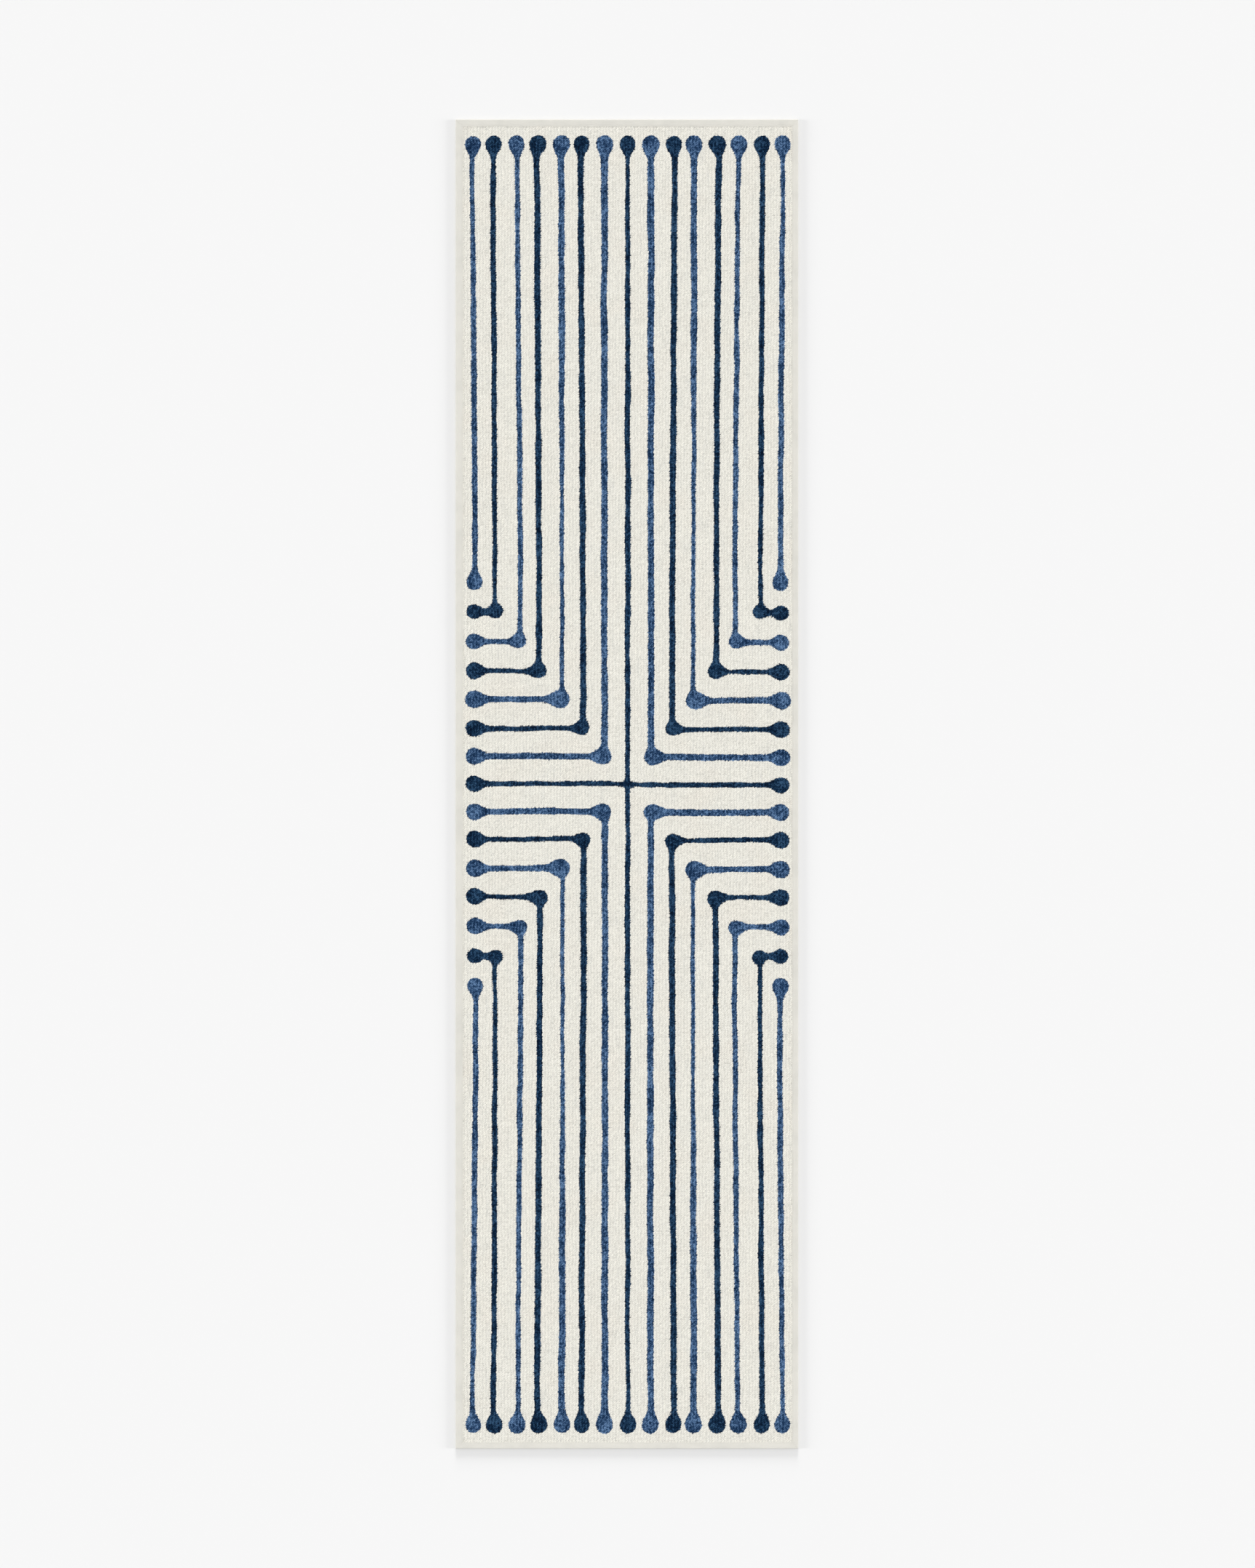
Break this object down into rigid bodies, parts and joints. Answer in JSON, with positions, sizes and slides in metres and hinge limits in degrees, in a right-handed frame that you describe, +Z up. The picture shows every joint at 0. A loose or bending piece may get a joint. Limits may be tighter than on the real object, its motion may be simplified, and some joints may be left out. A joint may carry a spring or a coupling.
{
  "type": "runner rug",
  "caption": "Long narrow flat-woven runner rug with a printed nested line pattern, a cloth backing with a grip coat, and folded tape sewn over its edges.",
  "frame": {"origin": "on the floor, under the middle of the rug", "axes": "+X across the runner, +Y along it towards the head end, +Z up through the printed face"},
  "size_m": [0.752, 2.92, 0.0063],
  "materials": {
    "printed_cloth": "coarse flat weave in natural yarn, printed in two blues",
    "backing_felt": "dense needled backing cloth",
    "grip_rubber": "matt latex coat with raised dots",
    "tape": "plain fine-woven binding tape",
    "thread": "twisted sewing thread, matched to the tape"
  },
  "bodies": {
    "root": {"face_cloth": "printed_cloth", "backing_cloth": "backing_felt", "grip_coat": "grip_rubber", "binding_left": "tape", "binding_right": "tape", "binding_head": "tape", "binding_foot": "tape", "needle_thread_left": "thread", "needle_thread_right": "thread", "needle_thread_head": "thread", "needle_thread_foot": "thread", "bobbin_thread_left": "thread", "bobbin_thread_right": "thread", "bobbin_thread_head": "thread", "bobbin_thread_foot": "thread"}
  },
  "joints": []
}
